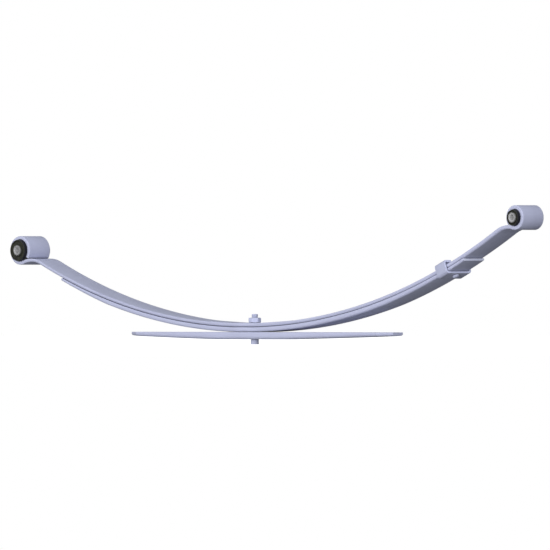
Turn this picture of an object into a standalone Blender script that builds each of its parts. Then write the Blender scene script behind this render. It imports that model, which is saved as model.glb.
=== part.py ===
"""Leaf spring of a light truck: main leaf with rolled eyes, second leaf, overload leaf and bushes.

Metres. +X runs along the spring to the rear (shackle) eye, +Z is up, and the near side is -Y.
The origin is the centre of the centre bolt's round head, on its flat end face.
"""

from math import acos, asin, atan2, cos, pi, radians, sin, sqrt, tan

import bmesh
import bpy
from mathutils import Matrix, Vector

GAP = 0.0003                      # between pieces that touch

# Leaves. All three stack on the centre bolt at x = 0.
LEAF_WIDTH = 0.060
ARC_RADIUS = 1.560                # underside of the main leaf, free and unloaded
CLAMP_HALF_LENGTH = 0.030         # flat under the clamp, each side of the centre bolt
PAD_START = 0.0135                # the bare seats start here, clear of the bolt head and the nut
RELIEF_DEPTH = 0.00005            # between the seats, round the bolt
RELIEF_RAMP = 0.0005
ARC_STEP = radians(1.6)           # angle of one facet of the arc
EDGE_ROUNDING = 0.0010

MAIN_CENTRE_THICKNESS = 0.0086
MAIN_SPAN_THICKNESS = 0.0074
MAIN_TAPER_START = 0.090          # the main leaf thins between these two distances from the bolt
MAIN_TAPER_END = 0.150

SECOND_THICKNESS = 0.0098
SECOND_TIP_THICKNESS = 0.0055
SECOND_TAPER_START = 0.420
SECOND_FRONT = 0.555
SECOND_REAR = 0.6526

OVERLOAD_THICKNESS = 0.0150
OVERLOAD_TIP_THICKNESS = 0.0070
OVERLOAD_TAPER_START = 0.095
OVERLOAD_FRONT = 0.358
OVERLOAD_REAR = 0.429
OVERLOAD_TAPER_FACETS = 8
OVERLOAD_TIP_WIDTH = 0.029
OVERLOAD_CORNER_LENGTH = 0.031

# Centre bolt and nut
BOLT_SHANK_RADIUS = 0.00665
BOLT_HOLE_RADIUS = 0.0071
BOLT_HEAD_RADIUS = 0.0084
BOLT_HEAD_HEIGHT = 0.0104
BOLT_TOP_Z = 0.0628
BOLT_CHAMFER = 0.0008
NUT_ACROSS_FLATS = 0.0227
NUT_HEIGHT = 0.0106
NUT_TURN = radians(-13.5)

# Rolled eyes: bore radius, wall, and distance of the eye's centre from the bolt
EYE_CIRCLE_RADIUS = 1.5582        # both eye centres lie on this circle about the arc's centre
EYE_FILLET_RADIUS = 0.070         # reverse bend from the arc down under the eye, at mid-thickness
EYE_FILLET_STEP = radians(7)
EYE_END_CLEARANCE = 0.0005
EYE_STEP = radians(10)
FRONT_EYE = {"side": -1, "reach": 0.683, "bore": 0.0230, "wall": 0.0070}
REAR_EYE = {"side": 1, "reach": 0.805, "bore": 0.0174, "wall": 0.0081}

# Bushes in the eyes, half lengths along Y
BUSH_CLEARANCE = 0.0004           # the rolled eye is a polygon, so the can stays a little smaller
CAN_WALL = 0.0015
CAN_HALF_LENGTH = 0.0290
SLEEVE_RADIUS = 0.0105
SLEEVE_HALF_LENGTH = 0.0385
FRONT_SLEEVE_BORE = 0.0072
REAR_SLEEVE_BORE = 0.0066
RUBBER_HALF_LENGTH = 0.0372
RUBBER_TAPER = 0.0007
RUBBER_RIM_DROP = 0.0004          # outer edge of the rim, below its top
COLLAR_DROP = 0.0008              # rubber round the sleeve, below the rim's top
GROOVE_DEPTH = 0.0035
GROOVE_MARGIN = 0.0022            # rubber left beside the sleeve, inside the groove
RIM_WIDTH = 0.0028

# Rebound clip, riveted under the second leaf on the rear half
CLIP_X = 0.5930
CLIP_LENGTH = 0.0295
CLIP_THICKNESS = 0.0048
CLIP_HALF_WIDTH = 0.0355
CLIP_TOP_SPACE = 0.0055           # between the main leaf and the clip's bent-over ends
CLIP_END_SPACE = 0.0265           # between the two bent-over ends
CLIP_BEND_RADIUS = 0.0046
CLIP_BEND_FACETS = 4
RIVET_OFFSET = 0.0030             # from the clip's middle, towards the rear eye
RIVET_RADIUS = 0.0050
RIVET_HEAD_RADIUS = 0.0073
RIVET_HEAD_HEIGHT = 0.0048
RIVET_DOME = ((0.93, 0.55), (0.60, 0.90), (0, 1))   # shares of the head's radius and height
RIVET_SINK_RADIUS = 0.0078
RIVET_SINK_DEPTH = 0.0026

CUTTER_REACH = 0.002              # how far a cutter stands out of what it cuts
PLAN_MARGIN = 0.010               # the same for the overload leaf's plan

# Flexing: each half of the leaves turns about a point a third of the way out to its eye
FLEX_SHARE = 1 / 3

SEAT_Z = BOLT_HEAD_HEIGHT
OVERLOAD_TOP_Z = SEAT_Z + OVERLOAD_THICKNESS
ARC_LOW_Z = OVERLOAD_TOP_Z + SECOND_THICKNESS + GAP
ARC_CENTRE = Vector((0, ARC_LOW_Z + ARC_RADIUS))
CLAMP_ANGLE = asin(CLAMP_HALF_LENGTH / ARC_RADIUS)
MAIN_TOP_Z = ARC_CENTRE.y - (ARC_RADIUS - MAIN_CENTRE_THICKNESS) * cos(CLAMP_ANGLE)

LEAF_COLOUR = (0.50, 0.52, 0.69)
FASTENER_COLOUR = (0.55, 0.58, 0.74)
SLEEVE_COLOUR = (0.42, 0.42, 0.42)
CAN_COLOUR = (0.30, 0.30, 0.31)
RUBBER_COLOUR = (0.030, 0.031, 0.028)


def polar(centre, radius, angle):
    return Vector((centre.x + radius * cos(angle), centre.y + radius * sin(angle)))


def arc_point(angle, radius):
    """Point (x, z) at an angle from straight down about the centre of the leaves' arc."""
    return polar(ARC_CENTRE, radius, angle - pi / 2)


def arc_angles(front, rear):
    """Angles along the arc from front to rear, with one flat facet across the clamp."""
    angles = []
    for end in (-front, rear):
        side = 1 if end > 0 else -1
        facets = round((abs(end) - CLAMP_ANGLE) / ARC_STEP)
        span = (abs(end) - CLAMP_ANGLE) / facets
        half = [side * (CLAMP_ANGLE + span * i) for i in range(facets + 1)]
        angles += half if side > 0 else half[::-1]
    return angles


def share(value, start, end):
    """How far value is from start to end, kept between 0 and 1."""
    return min(max((value - start) / (end - start), 0), 1)


# ---------------------------------------------------------------- outlines in the XZ plane

def eye_frame(eye):
    """Centre of the eye, centre of the reverse bend, and the bend's angle, on the +X side."""
    mid_arc = ARC_RADIUS - eye["wall"] / 2
    mid_eye = eye["bore"] + eye["wall"] / 2
    eye_angle = asin(eye["reach"] / EYE_CIRCLE_RADIUS)
    to_bend = mid_arc + EYE_FILLET_RADIUS
    eye_to_bend = mid_eye + EYE_FILLET_RADIUS
    square_sum = EYE_CIRCLE_RADIUS ** 2 + to_bend ** 2 - eye_to_bend ** 2
    between = acos(square_sum / (2 * EYE_CIRCLE_RADIUS * to_bend))
    bend_angle = eye_angle - between
    return arc_point(eye_angle, EYE_CIRCLE_RADIUS), arc_point(bend_angle, to_bend), bend_angle


def eye_wrap(eye, centre, bend):
    """Angle the leaf turns about the eye until its end lies just clear of its own top side."""
    top_of_bend = EYE_FILLET_RADIUS + eye["wall"] / 2
    reach = eye["bore"] + eye["wall"] + EYE_END_CLEARANCE
    distance = (centre - bend).length
    between = acos((distance ** 2 + reach ** 2 - top_of_bend ** 2) / (2 * distance * reach))
    return 2 * pi - between


def eye_sides(eye):
    """Top and bottom side of the main leaf, outward from the end of the arc to the eye's end."""
    centre, bend, bend_angle = eye_frame(eye)
    wall = eye["wall"]
    mid_eye = eye["bore"] + wall / 2
    start = bend_angle + pi / 2
    end = atan2(centre.y - bend.y, centre.x - bend.x)
    top = []
    bottom = []
    facets = round((start - end) / EYE_FILLET_STEP)
    for i in range(facets + 1):
        angle = start + (end - start) * i / facets
        top.append(polar(bend, EYE_FILLET_RADIUS + wall / 2, angle))
        bottom.append(polar(bend, EYE_FILLET_RADIUS - wall / 2, angle))
    wrap = eye_wrap(eye, centre, bend)
    facets = round(wrap / EYE_STEP)
    for i in range(1, facets + 1):
        angle = end + pi + wrap * i / facets
        top.append(polar(centre, mid_eye - wall / 2, angle))
        bottom.append(polar(centre, mid_eye + wall / 2, angle))
    if eye["side"] < 0:
        top = [Vector((-p.x, p.y)) for p in top]
        bottom = [Vector((-p.x, p.y)) for p in bottom]
    return top, bottom


def main_thickness(angle):
    """Thickness of the main leaf at an angle along the arc."""
    eye = REAR_EYE if angle > 0 else FRONT_EYE
    distance = ARC_RADIUS * sin(abs(angle))
    thinning = share(distance, MAIN_TAPER_START, MAIN_TAPER_END)
    thickness = MAIN_CENTRE_THICKNESS + (MAIN_SPAN_THICKNESS - MAIN_CENTRE_THICKNESS) * thinning
    arc_end = ARC_RADIUS * sin(eye_frame(eye)[2])
    return thickness + (eye["wall"] - MAIN_SPAN_THICKNESS) * share(distance, arc_end / 2, arc_end)


def relief(z, depth):
    """Points of the shallow relief round the bolt, which ends the flat seat on each side of it."""
    half = [Vector((PAD_START - RELIEF_RAMP, z + depth)), Vector((PAD_START, z))]
    return [Vector((-p.x, p.y)) for p in half[::-1]] + half


def main_leaf_outline():
    front_top, front_bottom = eye_sides(FRONT_EYE)
    rear_top, rear_bottom = eye_sides(REAR_EYE)
    angles = arc_angles(eye_frame(FRONT_EYE)[2], eye_frame(REAR_EYE)[2])[1:-1]
    front_arc = [arc_point(a, ARC_RADIUS - main_thickness(a)) for a in angles if a < 0]
    rear_arc = [arc_point(a, ARC_RADIUS - main_thickness(a)) for a in angles if a > 0]
    top = front_arc + relief(MAIN_TOP_Z, -RELIEF_DEPTH) + rear_arc
    bottom = [arc_point(a, ARC_RADIUS) for a in angles]
    whole_top = front_top[::-1] + top + rear_top
    whole_bottom = front_bottom[::-1] + bottom + rear_bottom
    return whole_top + whole_bottom[::-1]


def second_thickness(angle):
    distance = ARC_RADIUS * sin(abs(angle))
    tip = SECOND_REAR if angle > 0 else SECOND_FRONT
    thinning = share(distance, SECOND_TAPER_START, tip)
    return SECOND_THICKNESS + (SECOND_TIP_THICKNESS - SECOND_THICKNESS) * thinning


def second_leaf_outline():
    angles = arc_angles(asin(SECOND_FRONT / ARC_RADIUS), asin(SECOND_REAR / ARC_RADIUS))
    radius = ARC_RADIUS + GAP
    top = [arc_point(a, radius) for a in angles]
    bottom = [arc_point(a, radius + second_thickness(a)) for a in angles]
    return top + bottom[::-1]


def overload_thickness(distance, length):
    """Parabolic taper: the square of the thickness falls evenly towards the tip."""
    thinning = share(distance, OVERLOAD_TAPER_START, length)
    loss = (OVERLOAD_THICKNESS ** 2 - OVERLOAD_TIP_THICKNESS ** 2) * thinning
    return sqrt(OVERLOAD_THICKNESS ** 2 - loss)


def overload_underside(side, length):
    """Points of one half's underside, from the end of the thick middle out to the tip."""
    points = []
    for i in range(OVERLOAD_TAPER_FACETS + 1):
        part = i / OVERLOAD_TAPER_FACETS
        distance = OVERLOAD_TAPER_START + (length - OVERLOAD_TAPER_START) * part
        z = OVERLOAD_TOP_Z - overload_thickness(distance, length)
        points.append(Vector((side * distance, z)))
    return points


def overload_leaf_outline():
    top = [Vector((-OVERLOAD_FRONT, OVERLOAD_TOP_Z)), Vector((OVERLOAD_REAR, OVERLOAD_TOP_Z))]
    rear = overload_underside(1, OVERLOAD_REAR)
    front = overload_underside(-1, OVERLOAD_FRONT)
    return top + rear[::-1] + relief(SEAT_Z, RELIEF_DEPTH)[::-1] + front


# ---------------------------------------------------------------- building tools

def collection(name):
    made = bpy.data.collections.new(name)
    bpy.context.scene.collection.children.link(made)
    return made


def material(name, colour, roughness, metallic):
    made = bpy.data.materials.new(name)
    made.use_nodes = True
    shader = made.node_tree.nodes["Principled BSDF"]
    shader.inputs["Base Color"].default_value = (*colour, 1)
    shader.inputs["Roughness"].default_value = roughness
    shader.inputs["Metallic"].default_value = metallic
    made.diffuse_color = (*colour, 1)
    return made


def add_object(name, mesh, group, finish=None):
    made = bpy.data.objects.new(name, mesh)
    group.objects.link(made)
    if finish:
        mesh.materials.append(finish)
    return made


def inside_cap(edge):
    """True for an edge that only divides one flat end of an extruded outline."""
    low, high = sorted(v.co.z for v in edge.verts)
    return edge.is_manifold and low * high > 0 and edge.calc_face_angle() < radians(0.05)


def plate(name, outline, width, group, finish=None):
    """Solid from a flat outline in the object's own XY plane, width thick along its own Z."""
    curve = bpy.data.curves.new(name, "CURVE")
    curve.dimensions = "2D"
    curve.fill_mode = "BOTH"
    curve.extrude = width / 2
    spline = curve.splines.new("POLY")
    spline.points.add(len(outline) - 1)
    for point, place in zip(spline.points, outline):
        point.co = (place.x, place.y, 0, 1)
    spline.use_cyclic_u = True
    drawn = bpy.data.objects.new(name + "_outline", curve)
    group.objects.link(drawn)
    bpy.context.view_layer.update()
    graph = bpy.context.evaluated_depsgraph_get()
    mesh = bpy.data.meshes.new_from_object(drawn.evaluated_get(graph))
    mesh.name = name
    bpy.data.objects.remove(drawn)
    solid = bmesh.new()
    solid.from_mesh(mesh)
    bmesh.ops.remove_doubles(solid, verts=solid.verts, dist=0.00001)
    bmesh.ops.dissolve_edges(solid, edges=[e for e in solid.edges if inside_cap(e)], use_verts=False)
    bmesh.ops.recalc_face_normals(solid, faces=solid.faces)
    solid.to_mesh(mesh)
    solid.free()
    return add_object(name, mesh, group, finish)


def leaf(name, outline, group, finish):
    """Full-width leaf whose outline lies in the world's XZ plane."""
    made = plate(name, outline, LEAF_WIDTH, group, finish)
    made.rotation_euler = (pi / 2, 0, 0)
    return made


def turned(name, profile, group, finish=None, steps=32, ring=False):
    """Body turned about its own Z axis from (radius, height) points, down the outer side."""
    mesh = bpy.data.meshes.new(name)
    edges = [(i, i + 1) for i in range(len(profile) - 1)]
    if ring:
        edges.append((len(profile) - 1, 0))
    mesh.from_pydata([(r, 0, h) for r, h in profile], edges, [])
    made = add_object(name, mesh, group, finish)
    screw = made.modifiers.new("Turn", "SCREW")
    screw.steps = steps
    screw.render_steps = steps
    screw.use_merge_vertices = True
    screw.merge_threshold = 0.00001
    screw.use_smooth_shade = True
    return made


def ring_profile(outer, inner, half_length):
    return [(outer, half_length), (outer, -half_length), (inner, -half_length), (inner, half_length)]


def round_edges(made, width):
    bevel = made.modifiers.new("Rounded edges", "BEVEL")
    bevel.width = width
    bevel.segments = 1
    bevel.limit_method = "ANGLE"
    bevel.angle_limit = radians(40)


def hide_cutter(cutter):
    cutter.hide_render = True
    cutter.display_type = "WIRE"


def boolean(made, cutter, operation="DIFFERENCE"):
    modifier = made.modifiers.new(cutter.name, "BOOLEAN")
    modifier.operation = operation
    modifier.solver = "EXACT"
    modifier.object = cutter


def pivot(name, place, group):
    empty = bpy.data.objects.new(name, None)
    empty.location = place
    group.objects.link(empty)
    return empty


def hang(child, parent):
    """Parents child to parent and leaves it where it is."""
    bpy.context.view_layer.update()
    child.parent = parent
    child.matrix_parent_inverse = parent.matrix_world.inverted()


# ---------------------------------------------------------------- pieces

def add_leaves(group, cutters, steel):
    profile = [(0, BOLT_TOP_Z), (BOLT_HOLE_RADIUS, BOLT_TOP_Z), (BOLT_HOLE_RADIUS, 0), (0, 0)]
    hole = turned("bolt_hole", profile, cutters, steps=24)
    hide_cutter(hole)

    main = leaf("main_leaf", main_leaf_outline(), group, steel)
    round_edges(main, EDGE_ROUNDING)
    boolean(main, hole)

    second = leaf("second_leaf", second_leaf_outline(), group, steel)
    round_edges(second, EDGE_ROUNDING)
    boolean(second, hole)

    overload = leaf("overload_leaf", overload_leaf_outline(), group, steel)
    plan = plate("overload_plan", overload_plan(), 4 * OVERLOAD_THICKNESS, cutters)
    plan.location.z = OVERLOAD_TOP_Z
    hide_cutter(plan)
    boolean(overload, plan, "INTERSECT")
    round_edges(overload, EDGE_ROUNDING)
    boolean(overload, hole)
    return main, second, overload


def overload_plan():
    """Plan outline with trimmed corners. Its long sides stand clear of the leaf's own."""
    tip = OVERLOAD_TIP_WIDTH / 2
    slope = (LEAF_WIDTH / 2 - tip) / OVERLOAD_CORNER_LENGTH
    wide = LEAF_WIDTH / 2 + PLAN_MARGIN * slope
    corner = OVERLOAD_CORNER_LENGTH + PLAN_MARGIN
    beyond = tip - PLAN_MARGIN * slope
    rear = [(OVERLOAD_REAR - corner, wide), (OVERLOAD_REAR + PLAN_MARGIN, beyond)]
    front = [(-OVERLOAD_FRONT - PLAN_MARGIN, beyond), (-OVERLOAD_FRONT + corner, wide)]
    far_side = [Vector(p) for p in rear[::-1] + front[::-1]]
    near_side = [Vector((p.x, -p.y)) for p in far_side[::-1]]
    return far_side + near_side


def add_centre_bolt(group, cutters, steel):
    profile = [
        (0, BOLT_TOP_Z),
        (BOLT_SHANK_RADIUS - BOLT_CHAMFER, BOLT_TOP_Z),
        (BOLT_SHANK_RADIUS, BOLT_TOP_Z - BOLT_CHAMFER),
        (BOLT_SHANK_RADIUS, BOLT_HEAD_HEIGHT - GAP),
        (BOLT_HEAD_RADIUS, BOLT_HEAD_HEIGHT - GAP),
        (BOLT_HEAD_RADIUS, BOLT_CHAMFER),
        (BOLT_HEAD_RADIUS - BOLT_CHAMFER, 0),
        (0, 0),
    ]
    turned("centre_bolt", profile, group, steel, steps=24)

    base = MAIN_TOP_Z + GAP
    corner_radius = NUT_ACROSS_FLATS / 2 / cos(pi / 6)
    corners = [polar(Vector((0, 0)), corner_radius, NUT_TURN + i * pi / 3) for i in range(6)]
    nut = plate("centre_bolt_nut", corners, NUT_HEIGHT, group, steel)
    nut.location.z = base + NUT_HEIGHT / 2
    bore = BOLT_SHANK_RADIUS + GAP
    low = base - CUTTER_REACH
    profile = [(0, BOLT_TOP_Z), (bore, BOLT_TOP_Z), (bore, low), (0, low)]
    thread = turned("nut_bore", profile, cutters, steps=24)
    hide_cutter(thread)
    boolean(nut, thread)


def rubber_profile(bore):
    """Bush rubber: narrow inside the can, a lip over the can's end, and a groove in each face."""
    lip = bore - BUSH_CLEARANCE
    inside = lip - CAN_WALL - GAP
    sleeve = SLEEVE_RADIUS + GAP
    rim = lip - RUBBER_TAPER
    groove_floor = RUBBER_HALF_LENGTH - GROOVE_DEPTH
    upper = [
        (sleeve, RUBBER_HALF_LENGTH - COLLAR_DROP),
        (sleeve + GROOVE_MARGIN / 2, RUBBER_HALF_LENGTH - COLLAR_DROP),
        (sleeve + GROOVE_MARGIN, groove_floor),
        (rim - RIM_WIDTH, groove_floor),
        (rim - RIM_WIDTH / 2, RUBBER_HALF_LENGTH),
        (rim, RUBBER_HALF_LENGTH - RUBBER_RIM_DROP),
        (lip, CAN_HALF_LENGTH + GAP),
        (inside, CAN_HALF_LENGTH + GAP),
    ]
    return upper + [(r, -h) for r, h in upper[::-1]]


def add_bush(prefix, eye, sleeve_bore, group, steel, rubber, can_steel):
    """The three pieces of one bush: can pressed in the eye, rubber, and inner sleeve."""
    centre = eye_frame(eye)[0]
    place = (eye["side"] * centre.x, 0, centre.y)
    outer = eye["bore"] - BUSH_CLEARANCE
    tube = ring_profile(outer, outer - CAN_WALL, CAN_HALF_LENGTH)
    spacer = ring_profile(SLEEVE_RADIUS, sleeve_bore, SLEEVE_HALF_LENGTH)
    can = turned(prefix + "_bush_outer_can", tube, group, can_steel, ring=True)
    body = turned(prefix + "_bush_rubber", rubber_profile(eye["bore"]), group, rubber, ring=True)
    sleeve = turned(prefix + "_bush_inner_sleeve", spacer, group, steel, ring=True)
    for piece in (can, body, sleeve):
        piece.location = place
        piece.rotation_euler = (-pi / 2, 0, 0)
    return can, body, sleeve


def clip_frame():
    """World matrix of the clip: local X across the leaf, local Y away from the arc, local Z along it."""
    angle = asin(CLIP_X / ARC_RADIUS)
    taper = (SECOND_THICKNESS - SECOND_TIP_THICKNESS) / (SECOND_REAR - SECOND_TAPER_START)
    slope = angle + atan2(taper, 1)
    place = arc_point(angle, ARC_RADIUS)
    across = Vector((0, 1, 0))
    normal = Vector((-sin(slope), 0, cos(slope)))
    matrix = Matrix((across, normal, across.cross(normal))).transposed().to_4x4()
    matrix.translation = (place.x, 0, place.y)
    return matrix


def bent_strap(corners, radius, thickness):
    """Outline of a strap that follows straight runs between corners, with rounded bends."""
    sides = {1: [], -1: []}
    for i, corner in enumerate(corners):
        if i in (0, len(corners) - 1):
            along = corners[1] - corner if i == 0 else corner - corners[i - 1]
            normal = Vector((-along.y, along.x)).normalized()
            for side, points in sides.items():
                points.append(corner + normal * side * thickness / 2)
            continue
        before = (corner - corners[i - 1]).normalized()
        after = (corners[i + 1] - corner).normalized()
        turn = before.angle_signed(after)
        hand = -1 if turn > 0 else 1
        setback = radius * tan(abs(turn) / 2)
        inward = Vector((-before.y, before.x)) * hand
        centre = corner - before * setback + inward * radius
        first = atan2(-inward.y, -inward.x)
        for step in range(CLIP_BEND_FACETS + 1):
            angle = first + hand * abs(turn) * step / CLIP_BEND_FACETS
            for side, points in sides.items():
                points.append(polar(centre, radius - hand * side * thickness / 2, angle))
    return sides[1] + sides[-1][::-1]


def add_clip(group, cutters, steel):
    """Strap under the second leaf, up both edges and over the main leaf, and its rivet."""
    frame = clip_frame()
    leaf_bottom = GAP + second_thickness(asin(CLIP_X / ARC_RADIUS))
    base = -(leaf_bottom + GAP + CLIP_THICKNESS / 2)
    top = MAIN_SPAN_THICKNESS + CLIP_TOP_SPACE + CLIP_THICKNESS / 2
    side = CLIP_HALF_WIDTH - CLIP_THICKNESS / 2
    end = CLIP_END_SPACE / 2
    half = [Vector((end, top)), Vector((side, top)), Vector((side, base))]
    corners = half + [Vector((-p.x, p.y)) for p in half[::-1]]
    strap = bent_strap(corners, CLIP_BEND_RADIUS, CLIP_THICKNESS)
    clip = plate("rebound_clip", strap, CLIP_LENGTH, group, steel)
    clip.matrix_world = frame

    head_top = base - CLIP_THICKNESS / 2 - GAP
    flush = -2 * GAP
    profile = [
        (0, flush),
        (RIVET_SINK_RADIUS, flush),
        (RIVET_RADIUS, flush - RIVET_SINK_DEPTH),
        (RIVET_RADIUS, head_top),
        (RIVET_HEAD_RADIUS, head_top),
    ]
    for wide, deep in RIVET_DOME:
        profile.append((RIVET_HEAD_RADIUS * wide, head_top - RIVET_HEAD_HEIGHT * deep))
    rivet = turned("clip_rivet", profile, group, steel, steps=20)
    sink = [
        (0, CUTTER_REACH),
        (RIVET_SINK_RADIUS + GAP + CUTTER_REACH, CUTTER_REACH),
        (RIVET_SINK_RADIUS + GAP, flush),
        (RIVET_RADIUS + GAP, flush - RIVET_SINK_DEPTH),
        (RIVET_RADIUS + GAP, head_top - CUTTER_REACH),
        (0, head_top - CUTTER_REACH),
    ]
    hole = turned("rivet_hole", sink, cutters, steps=20)
    hide_cutter(hole)
    stand_up = Matrix.Rotation(-pi / 2, 4, "X")
    for turned_piece in (rivet, hole):
        turned_piece.matrix_world = frame @ Matrix.Translation((0, 0, RIVET_OFFSET)) @ stand_up
    boolean(clip, hole)
    return clip, rivet, hole


def main():
    for old in list(bpy.data.objects):
        bpy.data.objects.remove(old)
    spring = collection("leaf_spring")
    cutters = collection("cutters")
    leaf_steel = material("leaf_steel", LEAF_COLOUR, 0.5, 0.3)
    fastener_steel = material("fastener_steel", FASTENER_COLOUR, 0.45, 0.4)
    sleeve_steel = material("sleeve_steel", SLEEVE_COLOUR, 0.45, 0.6)
    can_steel = material("can_steel", CAN_COLOUR, 0.5, 0.6)
    rubber = material("bush_rubber", RUBBER_COLOUR, 0.75, 0)

    main_leaf, second_leaf, overload_leaf = add_leaves(spring, cutters, leaf_steel)
    add_centre_bolt(spring, cutters, fastener_steel)
    front = add_bush("front", FRONT_EYE, FRONT_SLEEVE_BORE, spring, sleeve_steel, rubber, can_steel)
    rear = add_bush("rear", REAR_EYE, REAR_SLEEVE_BORE, spring, sleeve_steel, rubber, can_steel)
    clip, rivet, rivet_hole = add_clip(spring, cutters, fastener_steel)
    boolean(second_leaf, rivet_hole)

    flexing = {"front_flex": (FRONT_EYE, front), "rear_flex": (REAR_EYE, rear + (clip, rivet))}
    for name, (eye, pieces) in flexing.items():
        place = arc_point(asin(eye["side"] * eye["reach"] * FLEX_SHARE / ARC_RADIUS), ARC_RADIUS)
        axis = pivot(name, (place.x, 0, place.y), spring)
        for piece in pieces:
            hang(piece, axis)
    bpy.context.view_layer.update()


main()
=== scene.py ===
"""Looks of the leaf spring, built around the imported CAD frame.

The shapes repeat the CAD model's dimensions in metres, with smooth arcs, rounded edges and fine detail.
+X runs to the rear (shackle) eye, +Z is up, the near side is -Y, and the origin is under the bolt head.
"""

from math import acos, asin, atan2, cos, hypot, pi, radians, sin, sqrt, tan

import bmesh
import bpy
from mathutils import Matrix, Vector


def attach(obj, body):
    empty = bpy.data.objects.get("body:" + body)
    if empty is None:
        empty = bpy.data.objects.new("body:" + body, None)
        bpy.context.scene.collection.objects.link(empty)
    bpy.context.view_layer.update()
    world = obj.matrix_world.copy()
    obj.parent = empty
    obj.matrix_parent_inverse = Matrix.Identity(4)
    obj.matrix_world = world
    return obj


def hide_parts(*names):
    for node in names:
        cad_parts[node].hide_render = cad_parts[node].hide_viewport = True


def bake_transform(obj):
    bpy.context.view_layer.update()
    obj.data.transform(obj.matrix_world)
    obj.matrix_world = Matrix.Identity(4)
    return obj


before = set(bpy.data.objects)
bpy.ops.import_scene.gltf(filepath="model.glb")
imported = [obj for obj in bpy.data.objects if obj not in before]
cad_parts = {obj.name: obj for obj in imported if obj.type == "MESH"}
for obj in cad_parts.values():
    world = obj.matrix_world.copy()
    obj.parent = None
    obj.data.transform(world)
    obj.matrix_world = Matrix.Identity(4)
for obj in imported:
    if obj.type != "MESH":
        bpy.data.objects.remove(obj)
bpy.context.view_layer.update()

GAP = 0.0003                      # between pieces that touch, are pressed or are bonded
CLEARANCE = 0.002                 # how far a cutter reaches past the solid it cuts
SHARP_ANGLE = radians(38)         # edges that turn further than this stay sharp
WELD_DISTANCE = 0.000002
LEAF_END_EDGE = 0.0008            # rounding of the sheared ends
SECOND_END_EDGE = 0.0006

LEAF_HALF_WIDTH = 0.030
LEAF_EDGES = (0.0014, 0.0048)     # rounded long edges of the rolled bar: top side, underside
EYE_EDGES = (0.0012, 0.0022)      # inside and outside of the rolled eye
OVERLOAD_EDGES = (0.0018, 0.0068)
ARC_RADIUS = 1.560
CLAMP_HALF_LENGTH = 0.030
STATION = 0.006                   # spacing of the cross-sections along a leaf

MAIN_CENTRE_THICKNESS = 0.0086
MAIN_SPAN_THICKNESS = 0.0074
MAIN_TAPER_START = 0.090
MAIN_TAPER_END = 0.150

SECOND_THICKNESS = 0.0098
SECOND_TIP_THICKNESS = 0.0055
SECOND_TAPER_START = 0.420
SECOND_REACH = {-1: 0.555, 1: 0.6526}

OVERLOAD_THICKNESS = 0.0150
OVERLOAD_TIP_THICKNESS = 0.0070
OVERLOAD_TAPER_START = 0.095
OVERLOAD_REACH = {-1: 0.358, 1: 0.429}
OVERLOAD_TIP_HALF_WIDTH = 0.0145
OVERLOAD_CORNER_LENGTH = 0.031

BOLT_SHANK_RADIUS = 0.00665
BOLT_HOLE_RADIUS = 0.0071
BOLT_HEAD_RADIUS = 0.0084
BOLT_HEAD_HEIGHT = 0.0104
BOLT_TOP_Z = 0.0628
THREAD_PITCH = 0.00175
THREAD_DEPTH = 0.00060
THREAD_START = 0.0035             # from the main leaf's top, inside the nut
NUT_FLAT_RADIUS = 0.01135
NUT_HEIGHT = 0.0106
NUT_TURN = radians(-13.5)
NUT_CHAMFER_ANGLE = radians(28)
NUT_FACE_RADIUS = 0.965 * NUT_FLAT_RADIUS
NUT_CORNER_TRIM = 0.985           # share of the sharp corner radius that the rounded corners keep
NUT_BORE_CHAMFER = 0.0007

EYE_CIRCLE_RADIUS = 1.5582
EYE_FILLET_RADIUS = 0.070
EYE_END_CLEARANCE = 0.0005
EYE_STEP = radians(4)
EYES = {
    -1: {"reach": 0.683, "bore": 0.0230, "wall": 0.0070, "body": "front_end"},
    1: {"reach": 0.805, "bore": 0.0174, "wall": 0.0081, "body": "rear_end"},
}
EYE_OUTSIDE_TRIM = 0.0001         # keeps the smooth eye inside the faceted one's box

BUSH_CLEARANCE = 0.0004
CAN_WALL = 0.0015
CAN_HALF_LENGTH = 0.0290
SLEEVE_RADIUS = 0.0105
SLEEVE_HALF_LENGTH = 0.0385
SLEEVE_BORES = {-1: 0.0072, 1: 0.0066}
SLEEVE_BORE_CHAMFER = 0.0007
SLEEVE_EDGE = 0.0004
RUBBER_HALF_LENGTH = 0.0372
RUBBER_TAPER = 0.0007
GROOVE_DEPTH = 0.0035
COLLAR_WIDTH = {-1: 0.0018, 1: 0.0011}
COLLAR_DROP = 0.0008              # the collar round the sleeve stands this far behind the rim

CLIP_X = 0.5930
CLIP_HALF_LENGTH = 0.01475
CLIP_THICKNESS = 0.0048
CLIP_HALF_WIDTH = 0.0355
CLIP_TOP_SPACE = 0.0055
CLIP_END_SPACE = 0.0265
CLIP_BEND_RADIUS = 0.0046
CLIP_EDGE = 0.0005
CLIP_BEND_STEPS = 10
RIVET_OFFSET = 0.0030
RIVET_RADIUS = 0.0050
RIVET_HEAD_RADIUS = 0.0073
RIVET_HEAD_HEIGHT = 0.0048
RIVET_SINK_RADIUS = 0.0078
RIVET_SINK_DEPTH = 0.0026
RIVET_HEAD_EDGE = 0.0003

SEAT_Z = BOLT_HEAD_HEIGHT
OVERLOAD_TOP_Z = SEAT_Z + OVERLOAD_THICKNESS
ARC_CENTRE_Z = OVERLOAD_TOP_Z + SECOND_THICKNESS + GAP + ARC_RADIUS
CLAMP_ANGLE = asin(CLAMP_HALF_LENGTH / ARC_RADIUS)
MAIN_TOP_Z = ARC_CENTRE_Z - (ARC_RADIUS - MAIN_CENTRE_THICKNESS) * cos(CLAMP_ANGLE)

ACROSS = Vector((0, 1, 0))

CAMERA_AZIMUTH = radians(46.5)
CAMERA_TARGET = Vector((0.0607, 0, 0.1436))
CAMERA_DISTANCE = 53.77
CAMERA_LENS = 1700                # millimetres, so long that the view is nearly parallel

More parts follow.
